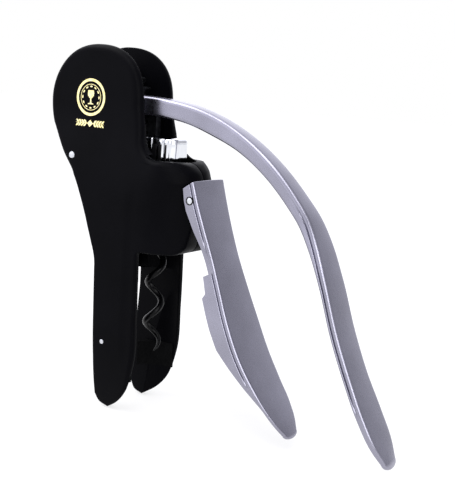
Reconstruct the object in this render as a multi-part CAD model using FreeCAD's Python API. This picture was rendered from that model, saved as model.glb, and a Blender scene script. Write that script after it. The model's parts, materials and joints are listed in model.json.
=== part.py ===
import FreeCAD, Part
import math
import os

# Lever corkscrew. X runs forward from the worm towards the two handles, Y to the left, Z up.
# The origin is on the worm's axis, level with the soles of the two legs. Millimetres and degrees.

# Fits
RUN = 0.05                  # radial clearance of a turning fit
GAP = 0.1                   # clearance of a sliding face

# Driving dimensions of the rack drive
PIVOT_X = -28.4             # lever axle, behind the worm's axis
PIVOT_Z = 131.0
AXLE_R = 3.0
AXLE_HALF = 11.5
MODULE = 1.5
TEETH = 19
PRESSURE_ANGLE = 20.0
ADDENDUM = 0.94 * MODULE
DEDENDUM = 1.22 * MODULE
BACKLASH = 0.16             # between a pinion tooth and its rack space, at the pitch line
PITCH_R = MODULE * TEETH / 2
GEAR_Y = 4.8                # inner face of each pinion and rack, from the middle plane
GEAR_W = 3.5
RACK_PITCH_X = PIVOT_X + PITCH_R
RACK_REAR = -8.0            # untoothed face of each rack
RACK_TOP = 134.6
RACK_BOTTOM = 85.0
RIVET_R = 1.2
RIVET_CIRCLE_R = 7.6        # three rivets through pinions and hub
RACK_RIVETS = ((-10.4, 95.0), (-10.4, 110.0))
SHOE_X = (-12.0, -9.0)      # guide shoes that run in grooves in the shells
SHOE_Y = 10.15
HUB_R = 10.5
HUB_HALF = 4.4
HUB_WASHER_R = 9.8
THRUST_RING_R = 6.5

# Driving dimensions of the black body
HEAD_R = 24.3
HEAD_HALF = 13.0            # half the width over the head
BODY_HALF = 18.0            # half the width over the collar and the legs
BAY_HALF = 9.3              # half the width of the slot that the lever and the carriage work in
COLLAR_Z = 71.4             # underside of the collar
RIM_Z = 110.3
CUP_R = 14.5
BORE_R = 15.0               # between the legs, about the worm's axis
WEB_Z = 59.0                # lower edge of the web that joins the legs at the rear
WEB_T = 2.6
LUG_HALF = 8.6              # hinge lug in front of the collar
SCREWS = ((-24.3, 88.0, 12.0), (17.3, 80.0, 6.5))      # x, z and the seat's distance from the middle
SCREW_R = 1.3
SCREW_HEAD_R = 2.4
UPPER_PIN = (-36.6, 107.8)
UPPER_PIN_R = 1.5
LEG_RIVET = (-13.5, 30.0)
LEG_RIVET_R = 1.4
PAD_X = (-12.8, 1.2)        # grip pads, let into the legs
PAD_Y = 15.6
PAD_Z = 14.5
PAD_H = 11.0
JAW_R = 14.6
BADGE_R = 7.8
BADGE_T = 0.2
BADGE_AT = (PIVOT_X + 0.2, PIVOT_Z + 2.0)

# Driving dimensions of the worm and its carriage
WORM_R = 4.5                # outside radius of the coil
WIRE_R = 1.4
PITCH = 17.7
PHASE = 32.0                # angle of the coil about Z at PHASE_Z
PHASE_Z = 64.8
WORM_TIP_Z = 26.0
WORM_COLLAR_Z = 85.4
SHANK_R = 2.0
SHANK_TOP_Z = 104.0
CLIP_Z = 102.0
CLIP_T = 0.8
CARRIAGE_Z = 89.0
CARRIAGE_TOP_Z = 116.4
CARRIAGE_REAR = -13.0
CARRIAGE_FRONT = 10.0
CARRIAGE_HALF = 6.2
CAP_T = 2.0
CAP_BOSS_R = 4.0
THRUST_Z = 100.0            # floor of the carriage's bore
CHASSIS_Z = 75.2
NUT_Z = 76.0
NUT_H = 8.0
NUT_R = 7.5
PLATE_T = 0.8
PLATE_SCREWS = ((0.0, 10.4), (0.0, -10.4))

# Driving dimensions of the clamp handle
CLAMP_X = 23.1              # its pin
CLAMP_Z = 95.1
CLAMP_PIN_R = 1.4
CLAMP_PIN_HALF = 11.4
SHEET_T = 1.7
FLANGE_DEPTH = 14.0
SPRING_WIRE_R = 0.3
SPRING_HALF = 3.6           # half the width of its pocket in the lug

SIDES = (("right", -1), ("left", 1))

# Lever and clamp handle: a row of stations along the outer face, x, z, width across, thickness below it
LEVER_STATIONS = (
    (-26.0, 135.2, 8.8, 8.4),
    (0.0, 134.9, 8.8, 7.8),
    (15.5, 132.9, 8.6, 7.8),
    (29.5, 128.9, 8.2, 8.0),
    (42.8, 122.6, 9.0, 7.0),
    (58.7, 111.3, 10.0, 6.3),
    (68.2, 102.0, 10.8, 6.0),
    (75.1, 93.8, 12.2, 5.6),
    (79.7, 85.4, 14.4, 4.8),
    (85.6, 71.1, 16.4, 3.8),
    (92.6, 51.9, 16.8, 3.7),
    (99.4, 36.6, 16.6, 3.6),
    (106.1, 23.6, 16.2, 3.6),
    (112.3, 11.9, 14.6, 2.8),
    (116.2, 4.9, 6.0, 1.4),
)
HANDLE_STATIONS = (
    (24.7, 103.0, 23.2),
    (27.2, 95.0, 22.8),
    (31.2, 84.0, 21.6),
    (36.0, 72.0, 20.9),
    (40.3, 61.6, 22.2),
    (46.2, 48.0, 24.4),
    (53.0, 34.5, 24.4),
    (60.1, 23.8, 22.6),
    (66.0, 15.8, 19.4),
    (70.6, 9.4, 14.0),
    (73.6, 4.4, 5.0),
)

# Free edge of the clamp handle's flanges from the top down, with its two finger notches
FLANGE_EDGE = (
    (19.7, 99.6), (20.4, 95.0), (21.6, 90.8), (25.4, 83.2), (29.4, 76.8), (32.0, 71.5), (34.2, 66.4),
    (31.6, 65.2), (33.5, 58.4), (32.2, 56.3), (34.8, 50.0), (37.4, 44.3), (41.5, 36.8), (47.8, 30.4),
    (54.8, 24.0), (62.0, 17.8), (68.2, 11.6), (72.4, 4.0),
)

# Rubber block in the clamp handle: corners in side view, and the hollow that fits round a neck
SHOE_BLOCK = ((38.2, 58.9), (44.2, 45.2), (40.4, 43.8), (37.0, 50.0), (36.4, 57.0))
SHOE_HALF = 9.4
SHOE_HOLLOW_R = 16.5
SHOE_HOLLOW_X = 25.0


def vec(x, z, y=0.0):
    return FreeCAD.Vector(x, y, z)


def line(a, b):
    return Part.makeLine(vec(*a), vec(*b))


def arc(a, m, b):
    return Part.Arc(vec(*a), vec(*m), vec(*b)).toShape()


def spline(points, start=None, end=None):
    curve = Part.BSplineCurve()
    places = [vec(*p) for p in points]
    if start is None:
        curve.interpolate(places)
    else:
        curve.interpolate(Points=places, InitialTangent=vec(*start), FinalTangent=vec(*end))
    return curve.toShape()


def slab(edges, y0, y1):
    """A side-view outline in the XZ plane, made solid from y0 to y1."""
    face = Part.Face(Part.Wire(edges))
    face.translate(FreeCAD.Vector(0, y0, 0))
    return face.extrude(FreeCAD.Vector(0, y1 - y0, 0))


def polygon(points, y0, y1):
    corners = [vec(*p, y0) for p in points]
    corners.append(corners[0])
    return Part.Face(Part.makePolygon(corners)).extrude(FreeCAD.Vector(0, y1 - y0, 0))


def box(x0, x1, y0, y1, z0, z1):
    return Part.makeBox(x1 - x0, y1 - y0, z1 - z0, FreeCAD.Vector(x0, y0, z0))


def rod_y(radius, x, z, y0, y1):
    return Part.makeCylinder(radius, y1 - y0, FreeCAD.Vector(x, y0, z), FreeCAD.Vector(0, 1, 0))


def rod_z(radius, z0, z1, x=0.0, y=0.0):
    return Part.makeCylinder(radius, z1 - z0, FreeCAD.Vector(x, y, z0))


def mirrored(shape, side):
    """The shape as modelled for the left side, or its mirror image for the right."""
    if side > 0:
        return shape
    return shape.mirror(FreeCAD.Vector(0, 0, 0), FreeCAD.Vector(0, 1, 0))


def group(shapes):
    return Part.makeCompound(shapes)


def export(name, shape):
    shape.exportStep("parts/" + name + ".step")


# Black body

def head_point(angle):
    a = math.radians(angle)
    return (PIVOT_X + HEAD_R * math.cos(a), PIVOT_Z + HEAD_R * math.sin(a))


def body_outline():
    """Side view: round head, waisted back, collar with its nose, and one leg."""
    back = head_point(205)
    rising = (math.sin(math.radians(205)), -math.cos(math.radians(205)))
    brow = head_point(0)
    return [
        line((-18.7, 5.0), (-20.1, 64.0)),
        spline([(-20.1, 64.0), (-25.2, 79.0), (-34.2, 99.1), (-43.3, 109.7), back], (0, 1), rising),
        arc(back, head_point(102), brow),
        line(brow, (-2.0, 119.8)),
        arc((-2.0, 119.8), (0.8, 113.1), (7.5, RIM_Z)),
        line((7.5, RIM_Z), (15.5, RIM_Z - 0.4)),
        spline([(15.5, RIM_Z - 0.4), (20.3, 106.6), (22.3, 101.5), (24.4, 96.8)]),
        arc((24.4, 96.8), (24.9, 95.1), (24.6, 93.4)),
        line((24.6, 93.4), (20.6, 76.0)),
        arc((20.6, 76.0), (18.8, 72.8), (15.5, COLLAR_Z)),
        line((15.5, COLLAR_Z), (2.8, COLLAR_Z)),
        spline([(2.8, COLLAR_Z), (3.4, 44.0), (2.6, 22.0), (-1.6, 9.6), (-6.4, 3.8), (-12.0, 0.0)]),
        spline([(-12.0, 0.0), (-16.6, 1.6), (-18.7, 5.0)]),
    ]


def front_outline():
    """Front view of the left half: legs that draw in at the soles, shoulders that draw in to the head."""
    sole = [(14.0, 0.0), (16.6, 13.0), (17.6, 26.0), (BODY_HALF, 42.0)]
    shoulder = [(BODY_HALF, 90.0), (16.9, 104.0), (14.0, 119.0), (HEAD_HALF, 130.0)]
    flip = FreeCAD.Matrix(0, 1, 0, 0, 1, 0, 0, 0, 0, 0, 1, 0, 0, 0, 0, 1)
    edges = [
        line((0, 0), sole[0]),
        spline(sole),
        line(sole[-1], shoulder[0]),
        spline(shoulder, (0, 1), (0, 1)),
        line(shoulder[-1], (HEAD_HALF, 160.0)),
        line((HEAD_HALF, 160.0), (0, 160.0)),
        line((0, 160.0), (0, 0)),
    ]
    face = Part.Face(Part.Wire([edge.transformGeometry(flip) for edge in edges]))
    face.translate(FreeCAD.Vector(-60, 0, 0))
    return face.extrude(FreeCAD.Vector(100, 0, 0))


def plan_shape():
    """From above: straight sides, round about the worm in front, with the hinge lug beyond."""
    rear = box(-60, 0, -BODY_HALF, BODY_HALF, -1, 160)
    nose = rod_z(BODY_HALF, -1, 160)
    lug = box(0, 30, -LUG_HALF, LUG_HALF, -1, 160)
    return rear.fuse([nose, lug])


def bay_cut():
    """The slot for lever, racks and carriage, closed by a web behind up to the level of the waist."""
    rear = spline([(-20.1 + WEB_T, 64.0), (-25.2 + WEB_T, 78.2), (-34.2 + WEB_T, 97.4), (-40.0, 105.0)])
    edges = [
        line((-20.1 + WEB_T, COLLAR_Z - 20), (-20.1 + WEB_T, 64.0)),
        rear,
        line((-40.0, 105.0), (-60.0, 112.0)),
        line((-60.0, 112.0), (-60.0, 162.0)),
        line((-60.0, 162.0), (12.0, 162.0)),
        line((12.0, 162.0), (12.0, COLLAR_Z - 20)),
        line((12.0, COLLAR_Z - 20), (-20.1 + WEB_T, COLLAR_Z - 20)),
    ]
    return slab(edges, -BAY_HALF, BAY_HALF)


def leg_cut():
    """The way in for the bottle's neck: between flat legs that draw in at their feet, and round
    about the worm under the collar."""
    bore = rod_z(BORE_R, -1, COLLAR_Z)
    front = box(0, 30, -BORE_R, BORE_R, -1, COLLAR_Z)
    half = [(11.0, -1.0), (BORE_R, 16.0), (BORE_R, WEB_Z)]
    profile = half + [(-y, z) for y, z in reversed(half)]
    corners = [FreeCAD.Vector(-30, y, z) for y, z in profile + profile[:1]]
    behind = Part.Face(Part.makePolygon(corners)).extrude(FreeCAD.Vector(30, 0, 0))
    return bore.fuse([front, behind])


def body_solid():
    outer = slab(body_outline(), -BODY_HALF - 1, BODY_HALF + 1)
    half = front_outline()
    outer = outer.common(half.fuse(mirrored(half, -1)))
    outer = outer.common(plan_shape())
    cup = rod_z(CUP_R, COLLAR_Z - 1, RIM_Z + 1)
    pads = box(*PAD_X, -PAD_Y, PAD_Y, PAD_Z, PAD_Z + PAD_H)
    return outer.cut([bay_cut(), leg_cut(), cup, pads])


def shoe_groove():
    return box(SHOE_X[0] - GAP, SHOE_X[1] + GAP, BAY_HALF - 0.5, SHOE_Y + GAP, 84.0, 170.0)


def shell(body, side):
    """One moulded half of the body, made for the left and mirrored for the right."""
    half = body.common(box(-70, 40, 0, 20, -1, 165))
    cuts = [
        rod_y(AXLE_R, PIVOT_X, PIVOT_Z, 0, AXLE_HALF),
        rod_y(UPPER_PIN_R, *UPPER_PIN, 0, 20),
        rod_y(LEG_RIVET_R, *LEG_RIVET, 9, 20),
        rod_y(CLAMP_PIN_R, CLAMP_X, CLAMP_Z, 0, 20),
        rod_y(4.4, CLAMP_X - 1.2, CLAMP_Z, 0, SPRING_HALF),
        box(CLAMP_X - 6.2, 30, 0, SPRING_HALF, CLAMP_Z - 5.0, CLAMP_Z + 2.0),
        shoe_groove(),
    ]
    for x, z, seat in SCREWS:
        if side > 0:
            cuts.append(rod_y(SCREW_R, x, z, 0, 20))
            cuts.append(rod_y(SCREW_HEAD_R + 0.2, x, z, seat, 20))
        else:
            cuts.append(rod_y(SCREW_R, x, z, 0, 8))
    if side < 0:
        cuts.append(rod_y(BADGE_R, *BADGE_AT, HEAD_HALF, 20))
    return mirrored(half.cut(cuts), side)


def shell_screws():
    """Two screws from the left that draw the two shells together."""
    made = []
    for x, z, seat in SCREWS:
        stem = rod_y(SCREW_R, x, z, -7.5, seat)
        head = rod_y(SCREW_HEAD_R, x, z, seat, seat + 1.6)
        slot = box(x - 0.35, x + 0.35, seat + 0.9, seat + 2, z - 3, z + 3)
        made.append(stem.fuse(head).cut(slot))
    return group(made)


# Rack drive

def involute(base_r, r):
    a = math.acos(base_r / r)
    return math.tan(a) - a


def pinion(side):
    """Involute spur gear, with a tooth space centred on the line from the axle to the rack."""
    base_r = PITCH_R * math.cos(math.radians(PRESSURE_ANGLE))
    tip_r = PITCH_R + ADDENDUM
    root_r = PITCH_R - DEDENDUM
    half_tooth = math.pi / (2 * TEETH) - BACKLASH / (2 * PITCH_R)
    offset = half_tooth + involute(base_r, PITCH_R)
    radii = [base_r + 0.02 + (tip_r - base_r - 0.02) * i / 7 for i in range(8)]

    def place(r, angle):
        return vec(PIVOT_X + r * math.cos(angle), PIVOT_Z + r * math.sin(angle))

    edges = []
    step = 2 * math.pi / TEETH
    for n in range(TEETH):
        middle = (n + 0.5) * step
        rising = [place(r, middle - offset + involute(base_r, r)) for r in radii]
        falling = [place(r, middle + offset - involute(base_r, r)) for r in reversed(radii)]
        foot = place(root_r, middle - offset - 0.01)
        heel = place(root_r, middle + offset + 0.01)
        edges.append(Part.makeLine(foot, rising[0]))
        for flank in (rising, falling):
            curve = Part.BSplineCurve()
            curve.interpolate(flank)
            edges.append(curve.toShape())
            if flank is rising:
                edges.append(Part.Arc(rising[-1], place(tip_r, middle), falling[0]).toShape())
        edges.append(Part.makeLine(falling[-1], heel))
        following = place(root_r, middle + step - offset - 0.01)
        edges.append(Part.Arc(heel, place(root_r, middle + step / 2), following).toShape())
    gear = slab(edges, GEAR_Y, GEAR_Y + GEAR_W)
    return mirrored(gear.cut([axle_hole()] + pinion_rivet_rods()), side)


def axle_hole():
    return rod_y(AXLE_R + RUN, PIVOT_X, PIVOT_Z, -20, 20)


def pinion_rivet_rods():
    reach = GEAR_Y + GEAR_W
    rods = []
    for angle in (60, 180, 300):
        a = math.radians(angle)
        x = PIVOT_X + RIVET_CIRCLE_R * math.cos(a)
        z = PIVOT_Z + RIVET_CIRCLE_R * math.sin(a)
        rods.append(rod_y(RIVET_R, x, z, -reach, reach))
    return rods


def rack_rivet_rods():
    reach = GEAR_Y + GEAR_W
    return [rod_y(RIVET_R, x, z, -reach, reach) for x, z in RACK_RIVETS]


def rack(side):
    """Straight-sided teeth that face the pinion, a tooth level with the lever axle when it is down."""
    pitch = math.pi * MODULE
    lean = math.tan(math.radians(PRESSURE_ANGLE))
    tip_x = RACK_PITCH_X - ADDENDUM
    root_x = RACK_PITCH_X + DEDENDUM
    tip_half = pitch / 4 - ADDENDUM * lean
    root_half = pitch / 4 + DEDENDUM * lean
    points = [(RACK_REAR, RACK_TOP), (root_x, RACK_TOP)]
    for n in range(0, -10, -1):
        z = PIVOT_Z + n * pitch
        points += [(root_x, z + root_half), (tip_x, z + tip_half)]
        points += [(tip_x, z - tip_half), (root_x, z - root_half)]
    points += [(root_x, RACK_BOTTOM), (RACK_REAR, RACK_BOTTOM)]
    bar = polygon(points, GEAR_Y, GEAR_Y + GEAR_W)
    return mirrored(bar.cut(rack_rivet_rods()), side)


def guide_shoe(side):
    return mirrored(box(*SHOE_X, GEAR_Y + GEAR_W, SHOE_Y, 87.0, 107.0), side)


# Lever and clamp handle

def station_slope(stations, i):
    before = stations[max(i - 1, 0)]
    after = stations[min(i + 1, len(stations) - 1)]
    return math.atan2(after[1] - before[1], after[0] - before[0])


def cross_section(x, z, slope, width, top, bottom):
    """A rectangle across a bar, from top to bottom below the point x, z of its outer face."""
    below = vec(math.sin(slope), -math.cos(slope))
    across = FreeCAD.Vector(0, width / 2, 0)
    high = vec(x, z) + below * top
    low = vec(x, z) + below * bottom
    corners = [high + across, high - across, low - across, low + across]
    return Part.makePolygon(corners + corners[:1])


def lever():
    """Curved bar that widens to a spoon-like grip, with a hub about the axle."""
    sections = []
    for i, (x, z, width, thick) in enumerate(LEVER_STATIONS):
        sections.append(cross_section(x, z, station_slope(LEVER_STATIONS, i), width, 0, thick))
    bar = Part.makeLoft(sections, True, False)
    hub = rod_y(HUB_R, PIVOT_X, PIVOT_Z, -HUB_HALF, HUB_HALF)
    return bar.fuse(hub).cut([axle_hole()] + pinion_rivet_rods())


def hub_washer(side):
    """Fills the space between the hub and a pinion."""
    disc = rod_y(HUB_WASHER_R, PIVOT_X, PIVOT_Z, HUB_HALF, GEAR_Y)
    return mirrored(disc.cut([axle_hole()] + pinion_rivet_rods()), side)


def pivot_washers():
    """Thrust washers between each pinion and its shell."""
    y0 = GEAR_Y + GEAR_W + GAP
    y1 = BAY_HALF - RUN
    ring = rod_y(THRUST_RING_R, PIVOT_X, PIVOT_Z, y0, y1).cut(axle_hole())
    return group([mirrored(ring, side) for name, side in SIDES])


def handle_loft(narrower, top, bottom):
    sections = []
    for i, (x, z, width) in enumerate(HANDLE_STATIONS):
        slope = station_slope(HANDLE_STATIONS, i)
        sections.append(cross_section(x, z, slope, max(width - narrower, 1.0), top, bottom))
    return Part.makeLoft(sections, True, False)


def clamp_handle():
    """A channel open towards the body: one broad outer face and two flanges that hold the pin."""
    outer = handle_loft(0, 0, FLANGE_DEPTH)
    front = [(x + 3, z + 2) for x, z, width in HANDLE_STATIONS]
    side_view = polygon(list(FLANGE_EDGE) + front[::-1], -15, 15)
    channel = outer.common(side_view).cut(handle_loft(2 * SHEET_T, SHEET_T, FLANGE_DEPTH + 2))
    return channel.cut(rod_y(CLAMP_PIN_R + RUN, CLAMP_X, CLAMP_Z, -15, 15))


def clamp_shoe():
    """Rubber block in the channel that bears on the bottle's neck when the handle is squeezed."""
    block = polygon(SHOE_BLOCK, -SHOE_HALF, SHOE_HALF)
    return block.cut(rod_z(SHOE_HOLLOW_R, 30, 70, x=SHOE_HOLLOW_X))


def clamp_spring():
    """Torsion spring about the pin, shown as a row of close rings."""
    coil_r = CLAMP_PIN_R + RUN + SPRING_WIRE_R
    turns = 10
    rings = []
    for n in range(turns):
        y = (n - (turns - 1) / 2) * 2 * SPRING_WIRE_R
        rings.append(Part.makeTorus(coil_r, SPRING_WIRE_R, vec(CLAMP_X, CLAMP_Z, y), FreeCAD.Vector(0, 1, 0)))
    return group(rings)


# Carriage and worm

def carriage():
    """Plated block that carries the racks behind it and holds the worm below it."""
    front = box(RACK_REAR, CARRIAGE_FRONT, -CARRIAGE_HALF, CARRIAGE_HALF, CARRIAGE_Z, CARRIAGE_TOP_Z)
    corners = [e for e in front.Edges if e.BoundBox.ZLength > 20 and e.BoundBox.XMin > 5]
    front = front.makeFillet(4.0, corners)
    tongue = box(CARRIAGE_REAR, RACK_REAR, -GEAR_Y, GEAR_Y, CARRIAGE_Z, CARRIAGE_TOP_Z)
    relief = polygon([(11, 88), (4, 88), (4, CARRIAGE_Z), (CARRIAGE_FRONT, 106), (11, 106)], -9, 9)
    bore = rod_z(SHANK_R + RUN, 80, 120)
    counterbore = rod_z(CAP_BOSS_R, THRUST_Z, 120)
    return front.fuse(tongue).cut([relief, bore, counterbore] + rack_rivet_rods())


def carriage_cap():
    """Bright plate on top of the carriage, with a boss that plugs its bore."""
    top = CARRIAGE_TOP_Z + CAP_T
    plate = box(CARRIAGE_REAR, CARRIAGE_FRONT + 0.6, -CARRIAGE_HALF, CARRIAGE_HALF, CARRIAGE_TOP_Z, top)
    plate = plate.cut([box(CARRIAGE_REAR - 1, RACK_REAR, y, y + 4, 110, 125) for y in (-GEAR_Y - 4, GEAR_Y)])
    corners = [e for e in plate.Edges if e.BoundBox.ZLength > 1.5 and e.BoundBox.XMin > 5]
    plate = plate.makeFillet(4.2, corners)
    return plate.fuse(rod_z(CAP_BOSS_R, 110.0, CARRIAGE_TOP_Z))


def coil_point(z, radius):
    a = math.radians(PHASE + 360 * (z - PHASE_Z) / PITCH)
    return FreeCAD.Vector(radius * math.cos(a), radius * math.sin(a), z)


def coil(wire_r, z0, z1, taper=0.0):
    """Right-handed open coil of round wire from z0 up to z1, drawn to a point over taper at z0."""
    centre_r = WORM_R - WIRE_R
    wires = []
    steps = int(math.ceil((z1 - z0) / (PITCH / 16)))
    for i in range(steps + 1):
        z = z0 + (z1 - z0) * i / steps
        r = wire_r
        if taper and z - z0 < taper:
            r = wire_r * max(0.08, math.sqrt((z - z0) / taper))
        ahead = coil_point(z + 0.1, centre_r) - coil_point(z - 0.1, centre_r)
        circle = Part.Circle(coil_point(z, centre_r), ahead, r)
        wires.append(Part.Wire(circle.toShape()))
    return Part.makeLoft(wires, True, False)


def worm():
    """Coil, collar and shank. The shank turns in the carriage, and a clip above keeps it there."""
    collar = rod_z(WORM_R, WORM_COLLAR_Z, CARRIAGE_Z - 0.3)
    shank = rod_z(SHANK_R, CARRIAGE_Z - 0.4, SHANK_TOP_Z)
    body = collar.fuse(shank).cut(clip_ring(SHANK_R + 1))
    return body.fuse(coil(WIRE_R, WORM_TIP_Z, WORM_COLLAR_Z + 0.8, 9.0))


def clip_ring(radius):
    """Ring that fills the groove near the top of the worm's shank, out to the radius."""
    return rod_z(radius, CLIP_Z, CLIP_Z + CLIP_T).cut(rod_z(SHANK_R - 0.4, CLIP_Z, CLIP_Z + CLIP_T))


def worm_clip():
    return clip_ring(3.4).cut(box(-4, 0, -1.2, 1.2, CLIP_Z, CLIP_Z + CLIP_T))


def thrust_washer():
    """Lies on the floor of the carriage's bore, under the clip."""
    ring = rod_z(3.6, THRUST_Z + RUN, CLIP_Z - RUN)
    return ring.cut(rod_z(SHANK_R + RUN, THRUST_Z, CLIP_Z))


# Chassis in the collar

def chassis():
    """Block that closes the collar and holds the drive nut on the worm's axis."""
    top = NUT_Z + NUT_H
    rear = box(-17.0, 0, -BAY_HALF + RUN, BAY_HALF - RUN, CHASSIS_Z, top)
    block = rear.fuse(rod_z(CUP_R - RUN, CHASSIS_Z, top))
    hole = rod_z(WORM_R + 0.7, 60, 90)
    seat = rod_z(NUT_R, NUT_Z, 90)
    return block.cut([hole, seat] + [rod_z(0.9, 78, 90, x, y) for x, y in PLATE_SCREWS])


def drive_nut():
    """Plug with one threaded way through it, which makes the worm turn as it rises and falls."""
    plug = rod_z(NUT_R, NUT_Z, NUT_Z + NUT_H)
    return plug.cut(coil(WIRE_R + 0.12, NUT_Z - 2, NUT_Z + NUT_H + 1.0))


def nut_plate():
    """Disc with a flat at the rear, screwed down over the drive nut."""
    base = NUT_Z + NUT_H
    plate = rod_z(12.6, base, base + PLATE_T).common(box(-7.6, 13, -13, 13, 80, 90))
    return plate.cut([rod_z(WORM_R + 0.7, 80, 90)] + [rod_z(1.0, 80, 90, x, y) for x, y in PLATE_SCREWS])


def nut_plate_screws():
    made = []
    top = NUT_Z + NUT_H + PLATE_T
    for x, y in PLATE_SCREWS:
        screw = rod_z(0.9, 78, top, x, y).fuse(rod_z(1.8, top, top + 1.0, x, y))
        made.append(screw.cut(box(x - 2, x + 2, y - 0.25, y + 0.25, top + 0.5, top + 2)))
    return group(made)


def neck_stop():
    """Soft ring that the bottle's mouth comes up against."""
    return rod_z(CUP_R - 0.2, COLLAR_Z + 0.2, CHASSIS_Z).cut(rod_z(WORM_R + 1.2, 60, 90))


def grip_pad(side):
    """Lining of one leg, hollowed round the worm's axis to fit a bottle's neck."""
    block = box(*PAD_X, 0, PAD_Y, PAD_Z, PAD_Z + PAD_H)
    return mirrored(block.cut(rod_z(JAW_R, 0, 80)), side)


def main():
    os.makedirs("parts", exist_ok=True)
    body = body_solid()
    for name, side in SIDES:
        export(name + "_shell", shell(body, side))
        export("pinion_" + name, pinion(side))
        export("hub_washer_" + name, hub_washer(side))
        export("rack_" + name, rack(side))
        export("guide_shoe_" + name, guide_shoe(side))
        export("grip_pad_" + name, grip_pad(side))
        export("leg_rivet_" + name, mirrored(rod_y(LEG_RIVET_R, *LEG_RIVET, BORE_R, 17.6), side))
    export("shell_screws", shell_screws())
    export("upper_pin", rod_y(UPPER_PIN_R, *UPPER_PIN, -16.3, 16.3))
    export("lever_axle", rod_y(AXLE_R, PIVOT_X, PIVOT_Z, -AXLE_HALF, AXLE_HALF))
    export("pivot_washers", pivot_washers())
    export("pinion_rivets", group(pinion_rivet_rods()))
    export("rack_rivets", group(rack_rivet_rods()))
    export("lever", lever())
    export("carriage", carriage())
    export("carriage_cap", carriage_cap())
    export("worm", worm())
    export("worm_clip", worm_clip())
    export("thrust_washer", thrust_washer())
    export("chassis", chassis())
    export("drive_nut", drive_nut())
    export("nut_plate", nut_plate())
    export("nut_plate_screws", nut_plate_screws())
    export("neck_stop", neck_stop())
    export("clamp_handle", clamp_handle())
    export("clamp_shoe", clamp_shoe())
    export("clamp_pin", rod_y(CLAMP_PIN_R, CLAMP_X, CLAMP_Z, -CLAMP_PIN_HALF, CLAMP_PIN_HALF))
    export("clamp_spring", clamp_spring())
    export("badge", rod_y(BADGE_R, *BADGE_AT, -HEAD_HALF - BADGE_T, -HEAD_HALF))


main()
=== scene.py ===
import json
import bmesh
import bpy
import numpy as np
from mathutils import Matrix


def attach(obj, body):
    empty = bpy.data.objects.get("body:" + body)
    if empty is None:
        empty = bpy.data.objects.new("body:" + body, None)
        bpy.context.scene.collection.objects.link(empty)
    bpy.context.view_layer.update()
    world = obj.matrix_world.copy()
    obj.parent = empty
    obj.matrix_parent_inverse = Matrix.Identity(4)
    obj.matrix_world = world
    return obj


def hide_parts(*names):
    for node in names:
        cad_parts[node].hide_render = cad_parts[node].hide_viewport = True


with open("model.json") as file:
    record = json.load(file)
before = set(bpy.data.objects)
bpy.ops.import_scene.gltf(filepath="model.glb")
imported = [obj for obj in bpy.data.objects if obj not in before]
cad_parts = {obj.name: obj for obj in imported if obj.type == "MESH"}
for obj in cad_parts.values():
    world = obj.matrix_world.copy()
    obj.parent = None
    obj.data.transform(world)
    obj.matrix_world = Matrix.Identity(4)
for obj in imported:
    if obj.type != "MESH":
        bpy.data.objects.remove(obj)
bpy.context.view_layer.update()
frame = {"nodes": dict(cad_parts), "record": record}
nodes = frame["nodes"]
print("frame loaded with", len(nodes), "nodes")

# Lengths below are millimetres and angles degrees. Plane points are x, z: x runs forward from the
# worm to the handles, z up from the soles, and y to the object's left.


# A linear colour from an sRGB hex value: each channel c becomes c / 12.92 below 0.04045,
# and ((c + 0.055) / 1.055) to the power 2.4 above it.
def linearColour(hexValue):
    c = np.array([int(hexValue[i:i + 2], 16) for i in (1, 3, 5)]) / 255
    c = np.where(c <= 0.04045, c / 12.92, ((c + 0.055) / 1.055) ** 2.4)
    return (*c.tolist(), 1.0)


def addNode(tree, kind, settings=None, values=None, links=None):
    node = tree.nodes.new(kind)
    for name, value in (settings or {}).items():
        setattr(node, name, value)
    for name, value in (values or {}).items():
        node.inputs[name].default_value = value
    for name, source in (links or {}).items():
        tree.links.new(source, node.inputs[name])
    return node


# 3t^2 - 2t^3, with t running 0 to 1 as x goes from low to high
def smoothStep(x, low, high):
    t = np.clip((np.asarray(x, float) - low) / (high - low), 0, 1)
    return t * t * (3 - 2 * t)


# The smaller of a and b, with the corner between them rounded over a width k:
# min(a, b) - max(k - |a - b|, 0)^2 / 4k
def softMin(a, b, k):
    return np.minimum(a, b) - np.maximum(k - np.abs(a - b), 0) ** 2 / (4 * k)


# A smooth curve through the rows of points: cubic Hermite pieces over the chord lengths in the
# first two columns, with each point's slope taken from its neighbours. u runs 0 to 1 along it.
def smoothCurve(points, u):
    p = np.asarray(points, float)
    chord = np.r_[0, np.cumsum(np.hypot(*np.diff(p[:, :2], axis=0).T))]
    slope = np.gradient(p, chord, axis=0)
    along = np.asarray(u, float) * chord[-1]
    i = np.clip(np.searchsorted(chord, along, side="right") - 1, 0, len(p) - 2)
    h = (chord[i + 1] - chord[i])[:, None]
    s = (along - chord[i])[:, None] / h
    return ((1 + 2 * s) * (1 - s) ** 2 * p[i] + s * (1 - s) ** 2 * h * slope[i]
            + s * s * (3 - 2 * s) * p[i + 1] + s * s * (s - 1) * h * slope[i + 1])


# Points of a circle, centre plus radius times (cos, sin), for an array of angles
def circlePoints(centre, radius, angles):
    a = np.radians(angles)
    return np.stack([centre[0] + radius * np.cos(a), centre[1] + radius * np.sin(a)], -1)


# The arc from a through m to b. Its centre is as far from all three.
def arcThrough(a, m, b, count):
    a, m, b = (np.array(p, float) for p in (a, m, b))
    rows = 2 * np.array([m - a, b - a])
    centre = np.linalg.solve(rows, [m @ m - a @ a, b @ b - a @ a])
    angles = np.degrees([np.arctan2(*(p - centre)[::-1]) for p in (a, m, b)])
    angles = np.degrees(np.unwrap(np.radians(angles)))
    return circlePoints(centre, np.hypot(*(a - centre)), np.linspace(angles[0], angles[2], count))


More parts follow.
